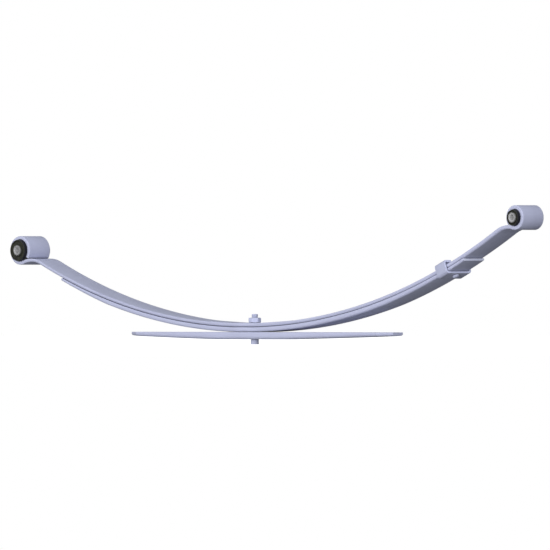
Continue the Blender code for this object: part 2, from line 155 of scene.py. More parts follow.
LEAF_LIGHT = (0.500, 0.522, 0.690)
LEAF_DARK = (0.455, 0.475, 0.635)


# ---------------------------------------------------------------- small geometry helpers

def ramp(value, start, end):
    """0 before start, 1 after end, and an even ramp between them."""
    return min(max((value - start) / (end - start), 0), 1)


def polar(centre, radius, angle):
    return Vector((centre.x + radius * cos(angle), 0, centre.z + radius * sin(angle)))


def arc_point(angle, radius):
    """Point at an angle from straight down about the centre of the leaves' arc."""
    return polar(Vector((0, 0, ARC_CENTRE_Z)), radius, angle - pi / 2)


def even_steps(start, end, step):
    count = max(1, round(abs(end - start) / step))
    return [start + (end - start) * i / count for i in range(count + 1)]


# ---------------------------------------------------------------- mesh builders

def finished(name, mesh_data, matrix=None):
    """Object from a bmesh, smooth shaded with its real corners kept sharp."""
    bmesh.ops.remove_doubles(mesh_data, verts=mesh_data.verts, dist=WELD_DISTANCE)
    bmesh.ops.recalc_face_normals(mesh_data, faces=mesh_data.faces)
    mesh = bpy.data.meshes.new(name)
    mesh_data.to_mesh(mesh)
    mesh_data.free()
    made = bpy.data.objects.new(name, mesh)
    bpy.context.scene.collection.objects.link(made)
    if matrix is not None:
        made.matrix_world = matrix
    mesh.shade_smooth()
    mesh.set_sharp_from_angle(angle=SHARP_ANGLE)
    return made


def rounded_section(half_height, half_width, radii, steps=4):
    """Points (width, height) of a rectangle with rounded corners, one radius high and one low.

    Both radii shrink where the bar is too thin for them.
    """
    points = []
    fit = min(1, 1.7 * half_height / sum(radii))
    for corner, (sx, sy) in enumerate(((1, 1), (-1, 1), (-1, -1), (1, -1))):
        radius = max(radii[0 if sy > 0 else 1] * fit, 0.00004)
        for i in range(steps + 1):
            angle = corner * pi / 2 + pi / 2 * i / steps
            x = sx * (half_width - radius) + radius * cos(angle)
            y = sy * (half_height - radius) + radius * sin(angle)
            points.append((x, y))
    return points


def loft(name, stations, round_start=0, round_end=0, width_axis=ACROSS, matrix=None):
    """Bar through stations of (centre, thickness direction, half thickness, half width, radii)."""
    rings = rounded_end(stations[::-1], round_start)[::-1]
    rings = rounded_end(rings, round_end)
    mesh = bmesh.new()
    made = []
    for centre, up, half, wide, radii in rings:
        section = rounded_section(half, wide, radii)
        made.append([mesh.verts.new(centre + width_axis * x + up * y) for x, y in section])
    for first, second in zip(made, made[1:]):
        for i in range(len(first)):
            j = (i + 1) % len(first)
            mesh.faces.new((first[i], first[j], second[j], second[i]))
    mesh.faces.new(made[0])
    mesh.faces.new(made[-1][::-1])
    return finished(name, mesh, matrix)


def rounded_end(rings, radius, steps=4):
    """Replaces the last stretch of a bar by rings that shrink round its end edges."""
    if not radius:
        return rings
    last, before = rings[-1], rings[-2]
    along = (last[0] - before[0]).normalized()
    kept = [r for r in rings if (last[0] - r[0]).length > radius * 1.05]
    for i in range(steps + 1):
        turn = pi / 2 * i / steps
        inset = radius * (1 - cos(turn))
        back = radius * (1 - sin(turn))
        centre = last[0] - along * back
        radii = tuple(r - inset * 0.9 for r in last[4])
        kept.append((centre, last[1], last[2] - inset, last[3] - inset, radii))
    return kept


def lathe(name, profile, steps=96, ring=False, matrix=None, wobble=None):
    """Turned body about local Z from (radius, height) points. wobble changes a radius by angle."""
    mesh = bmesh.new()
    loops = []
    for radius, height in profile:
        if radius < 0.000001:
            loops.append([mesh.verts.new((0, 0, height))])
            continue
        loop = []
        for i in range(steps):
            angle = 2 * pi * i / steps
            r = wobble(radius, height, angle) if wobble else radius
            loop.append(mesh.verts.new((r * cos(angle), r * sin(angle), height)))
        loops.append(loop)
    pairs = list(zip(loops, loops[1:]))
    if ring:
        pairs.append((loops[-1], loops[0]))
    for first, second in pairs:
        for i in range(steps):
            j = (i + 1) % steps
            if len(first) == 1:
                mesh.faces.new((first[0], second[j], second[i]))
            elif len(second) == 1:
                mesh.faces.new((first[i], first[j], second[0]))
            else:
                mesh.faces.new((first[i], first[j], second[j], second[i]))
    return finished(name, mesh, matrix)


def fillet_profile(corners, steps=4, ring=False):
    """Profile points with each (radius, height, fillet) corner rounded."""
    points = []
    count = len(corners)
    for i, (r, h, fillet) in enumerate(corners):
        here = Vector((r, h))
        if not fillet or (not ring and i in (0, count - 1)):
            points.append((r, h))
            continue
        to_last = (Vector(corners[i - 1][:2]) - here).normalized()
        to_next = (Vector(corners[(i + 1) % count][:2]) - here).normalized()
        for k in range(steps + 1):
            t = k / steps
            a = here + to_last * fillet * (1 - t)
            b = here + to_next * fillet * t
            p = a.lerp(b, t)
            points.append((p.x, p.y))
    return points


def cut(made, cutter):
    """Cuts a closed solid out of an object and keeps the result in its mesh."""
    modifier = made.modifiers.new("cut", "BOOLEAN")
    modifier.operation = "DIFFERENCE"
    modifier.solver = "EXACT"
    modifier.object = cutter
    bpy.context.view_layer.update()
    graph = bpy.context.evaluated_depsgraph_get()
    result = bpy.data.meshes.new_from_object(made.evaluated_get(graph))
    made.modifiers.clear()
    old = made.data
    made.data = result
    bpy.data.meshes.remove(old)
    result.shade_smooth()
    result.set_sharp_from_angle(angle=SHARP_ANGLE)


# ---------------------------------------------------------------- leaves

def main_thickness(distance, side):
    wall = EYES[side]["wall"]
    arc_end = ARC_RADIUS * sin(eye_frame(side)[2])
    thinning = ramp(distance, MAIN_TAPER_START, MAIN_TAPER_END)
    thickness = MAIN_CENTRE_THICKNESS + (MAIN_SPAN_THICKNESS - MAIN_CENTRE_THICKNESS) * thinning
    return thickness + (wall - MAIN_SPAN_THICKNESS) * ramp(distance, arc_end / 2, arc_end)


def second_thickness(distance, side):
    thinning = ramp(distance, SECOND_TAPER_START, SECOND_REACH[side])
    return SECOND_THICKNESS + (SECOND_TIP_THICKNESS - SECOND_THICKNESS) * thinning


def overload_thickness(distance, side):
    """Parabolic taper: the square of the thickness falls evenly towards the tip."""
    thinning = ramp(distance, OVERLOAD_TAPER_START, OVERLOAD_REACH[side])
    loss = (OVERLOAD_THICKNESS ** 2 - OVERLOAD_TIP_THICKNESS ** 2) * thinning
    return sqrt(OVERLOAD_THICKNESS ** 2 - loss)


def eye_frame(side):
    """Centre of the eye, centre of the reverse bend and the bend's angle, as if on the +X side."""
    eye = EYES[side]
    to_bend = ARC_RADIUS - eye["wall"] / 2 + EYE_FILLET_RADIUS
    eye_to_bend = eye["bore"] + eye["wall"] / 2 + EYE_FILLET_RADIUS
    square_sum = EYE_CIRCLE_RADIUS ** 2 + to_bend ** 2 - eye_to_bend ** 2
    between = acos(square_sum / (2 * EYE_CIRCLE_RADIUS * to_bend))
    eye_angle = asin(eye["reach"] / EYE_CIRCLE_RADIUS)
    bend_angle = eye_angle - between
    return arc_point(eye_angle, EYE_CIRCLE_RADIUS), arc_point(bend_angle, to_bend), bend_angle


def eye_centre(side):
    centre = eye_frame(side)[0]
    return Vector((side * centre.x, 0, centre.z))


def eye_wrap(centre, bend, eye):
    """Angle the leaf turns about the eye until its end lies just clear of its own top side."""
    top_of_bend = EYE_FILLET_RADIUS + eye["wall"] / 2
    reach = eye["bore"] + eye["wall"] + EYE_END_CLEARANCE
    distance = (centre - bend).length
    between = acos((distance ** 2 + reach ** 2 - top_of_bend ** 2) / (2 * distance * reach))
    return 2 * pi - between


def station(top, bottom, side, radii=LEAF_EDGES):
    """Cross-section between two points of the +X half, mirrored to its side."""
    top = Vector((side * top.x, 0, top.z))
    bottom = Vector((side * bottom.x, 0, bottom.z))
    up = (top - bottom).normalized()
    return (top + bottom) / 2, up, (top - bottom).length / 2, LEAF_HALF_WIDTH, radii


def arc_stations(radius, thickness, start, end, side):
    made = []
    for angle in even_steps(start, end, STATION / ARC_RADIUS):
        deep = thickness(ARC_RADIUS * sin(angle), side)
        made.append(station(arc_point(angle, radius - deep), arc_point(angle, radius), side))
    return made


def main_half(side):
    """Half of the main leaf: flat under the clamp, arc, reverse bend, and the rolled eye."""
    eye = EYES[side]
    wall = eye["wall"]
    centre, bend, bend_angle = eye_frame(side)
    top = arc_point(CLAMP_ANGLE, ARC_RADIUS - MAIN_CENTRE_THICKNESS)
    bottom = arc_point(CLAMP_ANGLE, ARC_RADIUS)
    stations = [station(Vector((0, 0, top.z)), Vector((0, 0, bottom.z)), side)]
    stations += arc_stations(ARC_RADIUS, main_thickness, CLAMP_ANGLE, bend_angle, side)
    start = bend_angle + pi / 2
    end = atan2(centre.z - bend.z, centre.x - bend.x)
    for angle in even_steps(start, end, STATION / 2 / EYE_FILLET_RADIUS)[1:]:
        high = polar(bend, EYE_FILLET_RADIUS + wall / 2, angle)
        low = polar(bend, EYE_FILLET_RADIUS - wall / 2, angle)
        turned = (angle - start) / (end - start)
        radii = tuple(a + (b - a) * turned for a, b in zip(LEAF_EDGES, EYE_EDGES))
        stations.append(station(high, low, side, radii))
    wrap = eye_wrap(centre, bend, eye)
    for angle in even_steps(end + pi, end + pi + wrap, EYE_STEP)[1:]:
        inner = polar(centre, eye["bore"], angle)
        outer = polar(centre, eye["bore"] + wall - EYE_OUTSIDE_TRIM, angle)
        stations.append(station(inner, outer, side, EYE_EDGES))
    name = "main_leaf_front" if side < 0 else "main_leaf_rear"
    return loft(name, stations, round_end=LEAF_END_EDGE)


def second_half(side):
    """Half of the second leaf, which follows the underside of the main leaf."""
    high = arc_point(CLAMP_ANGLE, ARC_RADIUS + GAP)
    low = arc_point(CLAMP_ANGLE, ARC_RADIUS + GAP + SECOND_THICKNESS)
    stations = [station(Vector((0, 0, high.z)), Vector((0, 0, low.z)), side)]
    end = asin(SECOND_REACH[side] / ARC_RADIUS)
    for angle in even_steps(CLAMP_ANGLE, end, STATION / ARC_RADIUS):
        deep = second_thickness(ARC_RADIUS * sin(angle), side)
        top = arc_point(angle, ARC_RADIUS + GAP)
        stations.append(station(top, arc_point(angle, ARC_RADIUS + GAP + deep), side))
    name = "second_leaf_front" if side < 0 else "second_leaf_rear"
    return loft(name, stations, round_end=SECOND_END_EDGE)


def overload_leaf():
    """Straight thick leaf with a parabolic taper and trimmed corners at both tips."""
    stations = []
    for x in even_steps(-OVERLOAD_REACH[-1], OVERLOAD_REACH[1], STATION / 2):
        side = -1 if x < 0 else 1
        from_tip = OVERLOAD_REACH[side] - abs(x)
        shoulder = ramp(from_tip, 0, OVERLOAD_CORNER_LENGTH)
        wide = OVERLOAD_TIP_HALF_WIDTH + (LEAF_HALF_WIDTH - OVERLOAD_TIP_HALF_WIDTH) * shoulder
        half = overload_thickness(abs(x), side) / 2
        centre = Vector((x, 0, OVERLOAD_TOP_Z - half))
        stations.append((centre, Vector((0, 0, 1)), half, wide, OVERLOAD_EDGES))
    return loft("overload_bar", stations, round_start=LEAF_END_EDGE, round_end=LEAF_END_EDGE)


# ---------------------------------------------------------------- centre bolt

def threaded(start, end):
    """Radius change that winds a V thread between two heights and fades out at both ends."""
    run_out = THREAD_PITCH / 2

    def wobble(radius, height, angle):
        fade = ramp(height, start, start + run_out) * ramp(end - height, 0, run_out)
        phase = (height / THREAD_PITCH - angle / (2 * pi)) % 1
        groove = 1 - abs(2 * phase - 1)
        return radius - THREAD_DEPTH * min(groove * 1.25, 1) * fade
    return wobble


def centre_bolt():
    """Round head, plain shank through the leaves, and a thread with a chamfered end."""
    thread_start = MAIN_TOP_Z + THREAD_START
    head_under = BOLT_HEAD_HEIGHT - GAP
    head = fillet_profile([
        (0, 0, 0),
        (BOLT_HEAD_RADIUS, 0, 0.0010),
        (BOLT_HEAD_RADIUS, head_under, 0.0004),
        (BOLT_SHANK_RADIUS, head_under, 0),
    ])
    shank = [(BOLT_SHANK_RADIUS, z) for z in even_steps(head_under, thread_start, 0.006)[1:]]
    top_edge = BOLT_TOP_Z - 0.0012
    turns = even_steps(thread_start, top_edge, THREAD_PITCH / 10)[1:]
    thread = [(BOLT_SHANK_RADIUS, z) for z in turns]
    end = [
        (BOLT_SHANK_RADIUS - 0.0009, BOLT_TOP_Z - 0.00025),
        (BOLT_SHANK_RADIUS - 0.0013, BOLT_TOP_Z),
        (0.0022, BOLT_TOP_Z),
        (0, BOLT_TOP_Z - 0.0003),
    ]
    wobble = threaded(thread_start, top_edge)
    return lathe("centre_bolt_turned", head + shank + thread + end, steps=72, wobble=wobble)


def centre_nut():
    """Hexagon nut with both faces chamfered, so each flat ends in an arc, and a chamfered bore."""
    bore = BOLT_SHANK_RADIUS + GAP
    corner = NUT_FLAT_RADIUS / cos(pi / 6)
    slope = tan(NUT_CHAMFER_ANGLE)
    steps = 96
    mesh = bmesh.new()
    rings = []
    for i in range(steps):
        angle = 2 * pi * i / steps
        off = (angle + pi / 6) % (pi / 3) - pi / 6
        side = min(NUT_FLAT_RADIUS / cos(off), corner * NUT_CORNER_TRIM)
        drop = (side - NUT_FACE_RADIUS) * slope
        column = [
            (bore, NUT_BORE_CHAMFER),
            (bore + NUT_BORE_CHAMFER, 0),
            (NUT_FACE_RADIUS, 0),
            (side, drop),
            (side, NUT_HEIGHT - drop),
            (NUT_FACE_RADIUS, NUT_HEIGHT),
            (bore + NUT_BORE_CHAMFER, NUT_HEIGHT),
            (bore, NUT_HEIGHT - NUT_BORE_CHAMFER),
        ]
        rings.append([mesh.verts.new((r * cos(angle), r * sin(angle), h)) for r, h in column])
    for i, first in enumerate(rings):
        second = rings[(i + 1) % steps]
        for j in range(len(first)):
            k = (j + 1) % len(first)
            mesh.faces.new((first[j], second[j], second[k], first[k]))
    seat = Matrix.Translation((0, 0, MAIN_TOP_Z + GAP))
    return finished("centre_nut_hexagon", mesh, seat @ Matrix.Rotation(NUT_TURN + pi / 6, 4, "Z"))


# ---------------------------------------------------------------- bushes

def bush_matrix(side):
    """Local Z along the eye, at the eye's centre."""
    return Matrix.Translation(eye_centre(side)) @ Matrix.Rotation(-pi / 2, 4, "X")


def mirrored(upper):
    """Closed ring profile from the corners of its upper half."""
    return upper + [(r, -h, fillet) for r, h, fillet in upper[::-1]]


def bush_rubber(side, prefix):
    """Moulding with a raised rim and a collar round the sleeve, with a moat between them."""
    lip = EYES[side]["bore"] - BUSH_CLEARANCE
    inside = lip - CAN_WALL - GAP
    sleeve = SLEEVE_RADIUS + GAP
    rim = lip - RUBBER_TAPER
    floor = RUBBER_HALF_LENGTH - GROOVE_DEPTH
    collar = COLLAR_WIDTH[side]
    upper = [
        (sleeve, RUBBER_HALF_LENGTH - COLLAR_DROP, 0.0003),
        (sleeve + collar, RUBBER_HALF_LENGTH - COLLAR_DROP, 0.0005),
        (sleeve + collar + 0.0011, floor, 0.0008),
        (rim - 0.0028, floor, 0.0009),
        (rim - 0.0016, RUBBER_HALF_LENGTH, 0.0005),
        (rim, RUBBER_HALF_LENGTH - 0.0003, 0.0007),
        (lip, CAN_HALF_LENGTH + 0.0022, 0.0006),
        (lip, CAN_HALF_LENGTH + GAP, 0.0004),
        (inside, CAN_HALF_LENGTH + GAP, 0),
    ]
    profile = fillet_profile(mirrored(upper), steps=5, ring=True)
    return lathe(prefix + "_bush_moulding", profile, ring=True, matrix=bush_matrix(side))


def bush_can(side, prefix):
    """Steel tube round the rubber, hidden in the eye."""
    outer = EYES[side]["bore"] - BUSH_CLEARANCE
    upper = [(outer - CAN_WALL, CAN_HALF_LENGTH, 0.0003), (outer, CAN_HALF_LENGTH, 0.0004)]
    profile = fillet_profile(mirrored(upper), steps=2, ring=True)
    return lathe(prefix + "_bush_tube", profile, ring=True, matrix=bush_matrix(side))


def bush_sleeve(side, prefix):
    """Turned inner tube with a chamfered bore and broken outer edges."""
    bore = SLEEVE_BORES[side]
    upper = [
        (bore, SLEEVE_HALF_LENGTH - SLEEVE_BORE_CHAMFER, 0),
        (bore + SLEEVE_BORE_CHAMFER, SLEEVE_HALF_LENGTH, 0),
        (SLEEVE_RADIUS - SLEEVE_EDGE, SLEEVE_HALF_LENGTH, 0),
        (SLEEVE_RADIUS, SLEEVE_HALF_LENGTH - SLEEVE_EDGE, 0),
        (SLEEVE_RADIUS, SLEEVE_HALF_LENGTH - 0.0020, 0),
    ]
    profile = fillet_profile(mirrored(upper), ring=True)
    return lathe(prefix + "_sleeve_turned", profile, ring=True, matrix=bush_matrix(side))


# ---------------------------------------------------------------- rebound clip

def clip_frame():
    """World matrix of the clip: local X across the leaf, local Y away from the arc, local Z along it."""
    angle = asin(CLIP_X / ARC_RADIUS)
    taper = (SECOND_THICKNESS - SECOND_TIP_THICKNESS) / (SECOND_REACH[1] - SECOND_TAPER_START)
    slope = angle + atan2(taper, 1)
    normal = Vector((-sin(slope), 0, cos(slope)))
    matrix = Matrix((ACROSS, normal, ACROSS.cross(normal))).transposed().to_4x4()
    matrix.translation = arc_point(angle, ARC_RADIUS)
    return matrix


def clip_levels():
    """Heights in the clip's frame: middle of its base, and middle of its bent-over ends."""
    under = GAP + second_thickness(CLIP_X, 1) + GAP + CLIP_THICKNESS / 2
    return -under, MAIN_SPAN_THICKNESS + CLIP_TOP_SPACE + CLIP_THICKNESS / 2


def strap_path():
    """Points and directions of the strap's middle line in the XY plane, with round bends at the corners."""
    base, top = clip_levels()
    side = CLIP_HALF_WIDTH - CLIP_THICKNESS / 2
    end = CLIP_END_SPACE / 2
    half = [(end, top), (side, top), (side, base)]
    corners = [Vector(p) for p in half + [(-x, y) for x, y in half[::-1]]]
    path = [(corners[0], (corners[1] - corners[0]).normalized())]
    for last, corner, following in zip(corners, corners[1:], corners[2:]):
        before = (corner - last).normalized()
        after = (following - corner).normalized()
        turn = before.angle_signed(after)
        setback = CLIP_BEND_RADIUS * tan(abs(turn) / 2)
        centre = corner + (after - before).normalized() * hypot(CLIP_BEND_RADIUS, setback)
        for t in even_steps(0, 1, 1 / CLIP_BEND_STEPS):
            direction = Matrix.Rotation(-turn * t, 2) @ before
            outward = -inward_normal(before, after, direction)
            path.append((centre + outward * CLIP_BEND_RADIUS, direction))
        if following is not corners[-1]:
            path.append(((corner + following) / 2, after))
    path.append((corners[-1], (corners[-1] - corners[-2]).normalized()))
    return path


def inward_normal(before, after, direction):
    """Unit normal of direction on the side that the path turns to."""
    hand = 1 if before.x * after.y - before.y * after.x > 0 else -1
    return Vector((-direction.y, direction.x)) * hand


def rebound_clip(matrix):
    """Strap bent up round both leaves, with its ends turned in above them."""
    stations = []
    for point, direction in strap_path():
        up = Vector((-direction.y, direction.x, 0))
        centre = Vector((point.x, point.y, 0))
        stations.append((centre, up, CLIP_THICKNESS / 2, CLIP_HALF_LENGTH, (CLIP_EDGE, CLIP_EDGE)))
    return loft("rebound_strap", stations, round_start=CLIP_EDGE, round_end=CLIP_EDGE,
                width_axis=Vector((0, 0, 1)), matrix=matrix)


def rivet_levels():
    """Heights in the clip's frame: the rivet's flush top, and the upper side of its head."""
    base = clip_levels()[0]
    return -2 * GAP, base - CLIP_THICKNESS / 2 - GAP


def clip_rivet(matrix):
    """Countersunk at the top, between the leaves, with a domed head under the clip."""
    flush, head_top = rivet_levels()
    profile = [
        (0, flush),
        (RIVET_SINK_RADIUS, flush),
        (RIVET_RADIUS, flush - RIVET_SINK_DEPTH),
        (RIVET_RADIUS, head_top),
        (RIVET_HEAD_RADIUS - RIVET_HEAD_EDGE, head_top),
        (RIVET_HEAD_RADIUS, head_top - RIVET_HEAD_EDGE),
    ]
    for angle in even_steps(0, pi / 2, pi / 24)[1:-1]:
        depth = RIVET_HEAD_EDGE + (RIVET_HEAD_HEIGHT - RIVET_HEAD_EDGE) * sin(angle)
        profile.append((RIVET_HEAD_RADIUS * cos(angle) ** 0.8, head_top - depth))
    profile.append((0, head_top - RIVET_HEAD_HEIGHT))
    return lathe("clip_rivet_domed", profile, steps=64, matrix=matrix)


def rivet_hole(matrix):
    """Cutter for the countersunk hole through the second leaf and the clip."""
    flush, head_top = rivet_levels()
    profile = [
        (0, CLEARANCE),
        (RIVET_SINK_RADIUS + GAP + CLEARANCE, CLEARANCE),
        (RIVET_SINK_RADIUS + GAP, flush),
        (RIVET_RADIUS + GAP, flush - RIVET_SINK_DEPTH),
        (RIVET_RADIUS + GAP, head_top - CLEARANCE),
        (0, head_top - CLEARANCE),
    ]
    return lathe("rivet_cutter", profile, steps=64, matrix=matrix)


# ---------------------------------------------------------------- materials

class Nodes:
    """Short calls for building one material's node tree."""

    def __init__(self, name):
        self.material = bpy.data.materials.new(name)
        self.material.use_nodes = True
        self.tree = self.material.node_tree
        self.shader = self.tree.nodes["Principled BSDF"]

    def add(self, kind, **values):
        """New node with its own settings and its sockets' values set by name."""
        node = self.tree.nodes.new(kind)
        for key, value in values.items():
            if hasattr(node, key):
                setattr(node, key, value)
            else:
                node.inputs[key.replace("_", " ").title()].default_value = value
        return node

    def link(self, source, target):
        self.tree.links.new(source, target)

    def place(self, stretch):
        """Object coordinates scaled along each axis."""
        coordinates = self.add("ShaderNodeTexCoord")
        mapping = self.add("ShaderNodeMapping")
        mapping.inputs["Scale"].default_value = stretch
        self.link(coordinates.outputs["Object"], mapping.inputs["Vector"])
        return mapping.outputs["Vector"]

    def noise(self, vector, scale, detail=4.0, roughness=0.55):
        node = self.add("ShaderNodeTexNoise", scale=scale, detail=detail, roughness=roughness)
        self.link(vector, node.inputs["Vector"])
        return node.outputs["Fac"]

    def span(self, value, low, high, start=0.3, end=0.7):
        """Maps a value between start and end to between low and high."""
        node = self.add("ShaderNodeMapRange")
        sockets = ("From Min", "From Max", "To Min", "To Max")
        for socket, number in zip(sockets, (start, end, low, high)):
            node.inputs[socket].default_value = number
        self.link(value, node.inputs["Value"])
        return node.outputs["Result"]

    def turned_place(self):
        """Distance from the local Z axis, and height along it."""
        coordinates = self.add("ShaderNodeTexCoord")
        split = self.add("ShaderNodeSeparateXYZ")
        self.link(coordinates.outputs["Object"], split.inputs["Vector"])
        flat = self.add("ShaderNodeCombineXYZ")
        self.link(split.outputs["X"], flat.inputs["X"])
        self.link(split.outputs["Y"], flat.inputs["Y"])
        radius = self.add("ShaderNodeVectorMath", operation="LENGTH")
        self.link(flat.outputs["Vector"], radius.inputs[0])
        return radius.outputs["Value"], split.outputs["Z"]

    def mix(self, factor, first, second, blend="MIX"):
        """Colour mix. Each of the three may be a number, a colour or a socket."""
        node = self.add("ShaderNodeMix", data_type="RGBA", blend_type=blend)
        sockets = (node.inputs[0], node.inputs[6], node.inputs[7])
        for socket, value in zip(sockets, (factor, first, second)):
            if isinstance(value, bpy.types.NodeSocket):
                self.link(value, socket)
            else:
                socket.default_value = value if not isinstance(value, tuple) else (*value, 1)
        return node.outputs[2]

    def bump(self, height, strength, distance, previous=None):
        node = self.add("ShaderNodeBump")
        node.inputs["Strength"].default_value = strength
        node.inputs["Distance"].default_value = distance
        self.link(height, node.inputs["Height"])
        if previous is not None:
            self.link(previous, node.inputs["Normal"])
        return node.outputs["Normal"]

    def finish(self, colour, roughness, normal, **uniform):
        self.link(colour, self.shader.inputs["Base Color"])
        self.link(roughness, self.shader.inputs["Roughness"])
        self.link(normal, self.shader.inputs["Normal"])
        for key, value in uniform.items():
            self.shader.inputs[key.replace("_", " ")].default_value = value
        return self.material


def coated_steel(name, light, dark, along, gloss, sheared=None):
    """Satin coat over rolled steel: soft colour drift, fine orange peel, paler edges (edge wear and a
    painted highlight) and painted shade that darkens the gaps between parts.

    Faces across the sheared axis, where the bar was cut to length, are paler: a thinner coat there, and a
    painted highlight.
    """
    nodes = Nodes(name)
    drift = nodes.noise(nodes.place(along), 9.0, 3.0)
    colour = nodes.mix(nodes.span(drift, 0, 1), dark, light)
    speck = nodes.noise(nodes.place((1, 1, 1)), 900.0, 2.0)
    speck = nodes.span(speck, 0, 1, 0.35, 0.75)
    speck_colour = nodes.mix(speck, (0.94, 0.94, 0.95), (1.03, 1.03, 1.03))
    colour = nodes.mix(1.0, colour, speck_colour, "MULTIPLY")
    geometry = nodes.add("ShaderNodeNewGeometry")
    # Convex edges turn paler: partly edge wear, partly a painted highlight.
    edge = nodes.span(geometry.outputs["Pointiness"], 0, 0.35, 0.508, 0.56)
    pale = tuple(min(c * 1.18, 0.95) for c in light)
    colour = nodes.mix(edge, colour, pale)
    if sheared:
        # End faces that face along the sheared axis are painted paler, as a thinner coat and as a painted
        # highlight.
        coordinates = nodes.add("ShaderNodeTexCoord")
        facing = nodes.add("ShaderNodeSeparateXYZ")
        size = nodes.add("ShaderNodeMath", operation="ABSOLUTE")
        nodes.link(coordinates.outputs["Normal"], facing.inputs["Vector"])
        nodes.link(facing.outputs[sheared], size.inputs[0])
        bare_end_and_highlight = tuple(min(c * 1.5, 0.95) for c in light)
        across = nodes.span(size.outputs[0], 0, 1, 0.70, 0.90)
        colour = nodes.mix(across, colour, bare_end_and_highlight)
    # Painted shade: ambient occlusion darkens the colour in creases and in the gaps between the leaves.
    crevice = nodes.add("ShaderNodeAmbientOcclusion", samples=12)
    crevice.inputs["Distance"].default_value = 0.006
    painted_crevice_shade = nodes.span(crevice.outputs["AO"], 1, 0, 0.20, 0.72)
    colour = nodes.mix(painted_crevice_shade, colour, tuple(c * 0.45 for c in dark))
    streak = nodes.noise(nodes.place(tuple(a * 14 for a in along)), 12.0, 5.0)
    roughness = nodes.span(streak, gloss - 0.05, gloss + 0.07)
    peel = nodes.noise(nodes.place((1, 1, 1)), 420.0, 3.0)
    normal = nodes.bump(peel, 0.10, 0.0004)
    normal = nodes.bump(streak, 0.05, 0.0005, normal)
    return nodes.finish(colour, roughness, normal, Metallic=0.0, Specular_IOR_Level=0.5,
                        Coat_Weight=0.25, Coat_Roughness=0.32)


def turned_steel(name, light, dark, bore_painted_light, gloss, metallic):
    """Machined steel: fine rings about the local Z axis, drifting tone, and painted light that makes the
    shaded bore lighter.
    """
    nodes = Nodes(name)
    radius, height = nodes.turned_place()
    rings_at = nodes.add("ShaderNodeCombineXYZ")
    nodes.link(radius, rings_at.inputs["X"])
    nodes.link(height, rings_at.inputs["Y"])
    rings = nodes.noise(rings_at.outputs["Vector"], 2600.0, 3.0, 0.7)
    blotch = nodes.noise(nodes.place((1, 1, 1)), 140.0, 3.0)
    colour = nodes.mix(nodes.span(blotch, 0, 1), dark, light)
    line = nodes.mix(nodes.span(rings, 0, 1), (0.90, 0.90, 0.90), (1.04, 1.04, 1.04))
    colour = nodes.mix(1.0, colour, line, "MULTIPLY")
    # Painted light: the colour inside the bore radius is lifted so the bore does not read as shaded.
    bore = nodes.span(radius, 1, 0, 0.0074, 0.0080)
    colour = nodes.mix(bore, colour, bore_painted_light)
    roughness = nodes.span(rings, gloss - 0.06, gloss + 0.10)
    normal = nodes.bump(rings, 0.12, 0.0002)
    return nodes.finish(colour, roughness, normal, Metallic=metallic, Specular_IOR_Level=0.5)


def moulded_rubber(name, lip):
    """Matt black rubber: fine grain, dusty bloom on its face, a darker and bluer side, and soft paler rims,
    partly worn rubber and partly a painted highlight.
    """
    nodes = Nodes(name)
    fine = nodes.noise(nodes.place((1, 1, 1)), 1500.0, 3.0, 0.6)
    bloom = nodes.noise(nodes.place((1, 1, 1)), 95.0, 4.0)
    colour = nodes.mix(nodes.span(bloom, 0, 1), (0.019, 0.019, 0.017), (0.036, 0.038, 0.026))
    radius = nodes.turned_place()[0]
    # The outer side, near the lip radius, is made darker and bluer.
    side = nodes.span(radius, 0, 1, lip - 0.0010, lip - 0.0005)
    colour = nodes.mix(side, colour, (0.009, 0.009, 0.014))
    grain = nodes.mix(nodes.span(fine, 0, 1), (0.85, 0.85, 0.85), (1.2, 1.2, 1.18))
    colour = nodes.mix(1.0, colour, grain, "MULTIPLY")
    geometry = nodes.add("ShaderNodeNewGeometry")
    # Rims and edges turn a paler olive: partly wear, partly a painted highlight.
    rim = nodes.span(geometry.outputs["Pointiness"], 0, 0.45, 0.51, 0.60)
    colour = nodes.mix(rim, colour, (0.075, 0.080, 0.062))
    roughness = nodes.span(bloom, 0.52, 0.70)
    normal = nodes.bump(fine, 0.25, 0.0003)
    return nodes.finish(colour, roughness, normal, Metallic=0.0, Specular_IOR_Level=0.45)


# ---------------------------------------------------------------- stage

def camera():
    """Long lens, level with the middle of the object and turned from its near side."""
    data = bpy.data.cameras.new("camera")
    data.lens = CAMERA_LENS
    data.sensor_width = 36
    data.clip_start = 1
    data.clip_end = 200
    made = bpy.data.objects.new("camera", data)
    bpy.context.scene.collection.objects.link(made)
    back = Vector((sin(CAMERA_AZIMUTH), -cos(CAMERA_AZIMUTH), 0))
    made.location = CAMERA_TARGET + back * CAMERA_DISTANCE
    made.rotation_euler = (-back).to_track_quat("-Z", "Y").to_euler()
    bpy.context.scene.camera = made


def sun(name, azimuth, elevation, strength, softness):
    """Soft distant light, its azimuth measured from the near side, without a glare of its own."""
    data = bpy.data.lights.new(name, "SUN")
    data.energy = strength
    data.angle = radians(softness)
    made = bpy.data.objects.new(name, data)
    bpy.context.scene.collection.objects.link(made)
    a, e = radians(azimuth), radians(elevation)
    back = Vector((sin(a) * cos(e), -cos(a) * cos(e), sin(e)))
    made.rotation_euler = (-back).to_track_quat("-Z", "Y").to_euler()
    made.visible_glossy = False


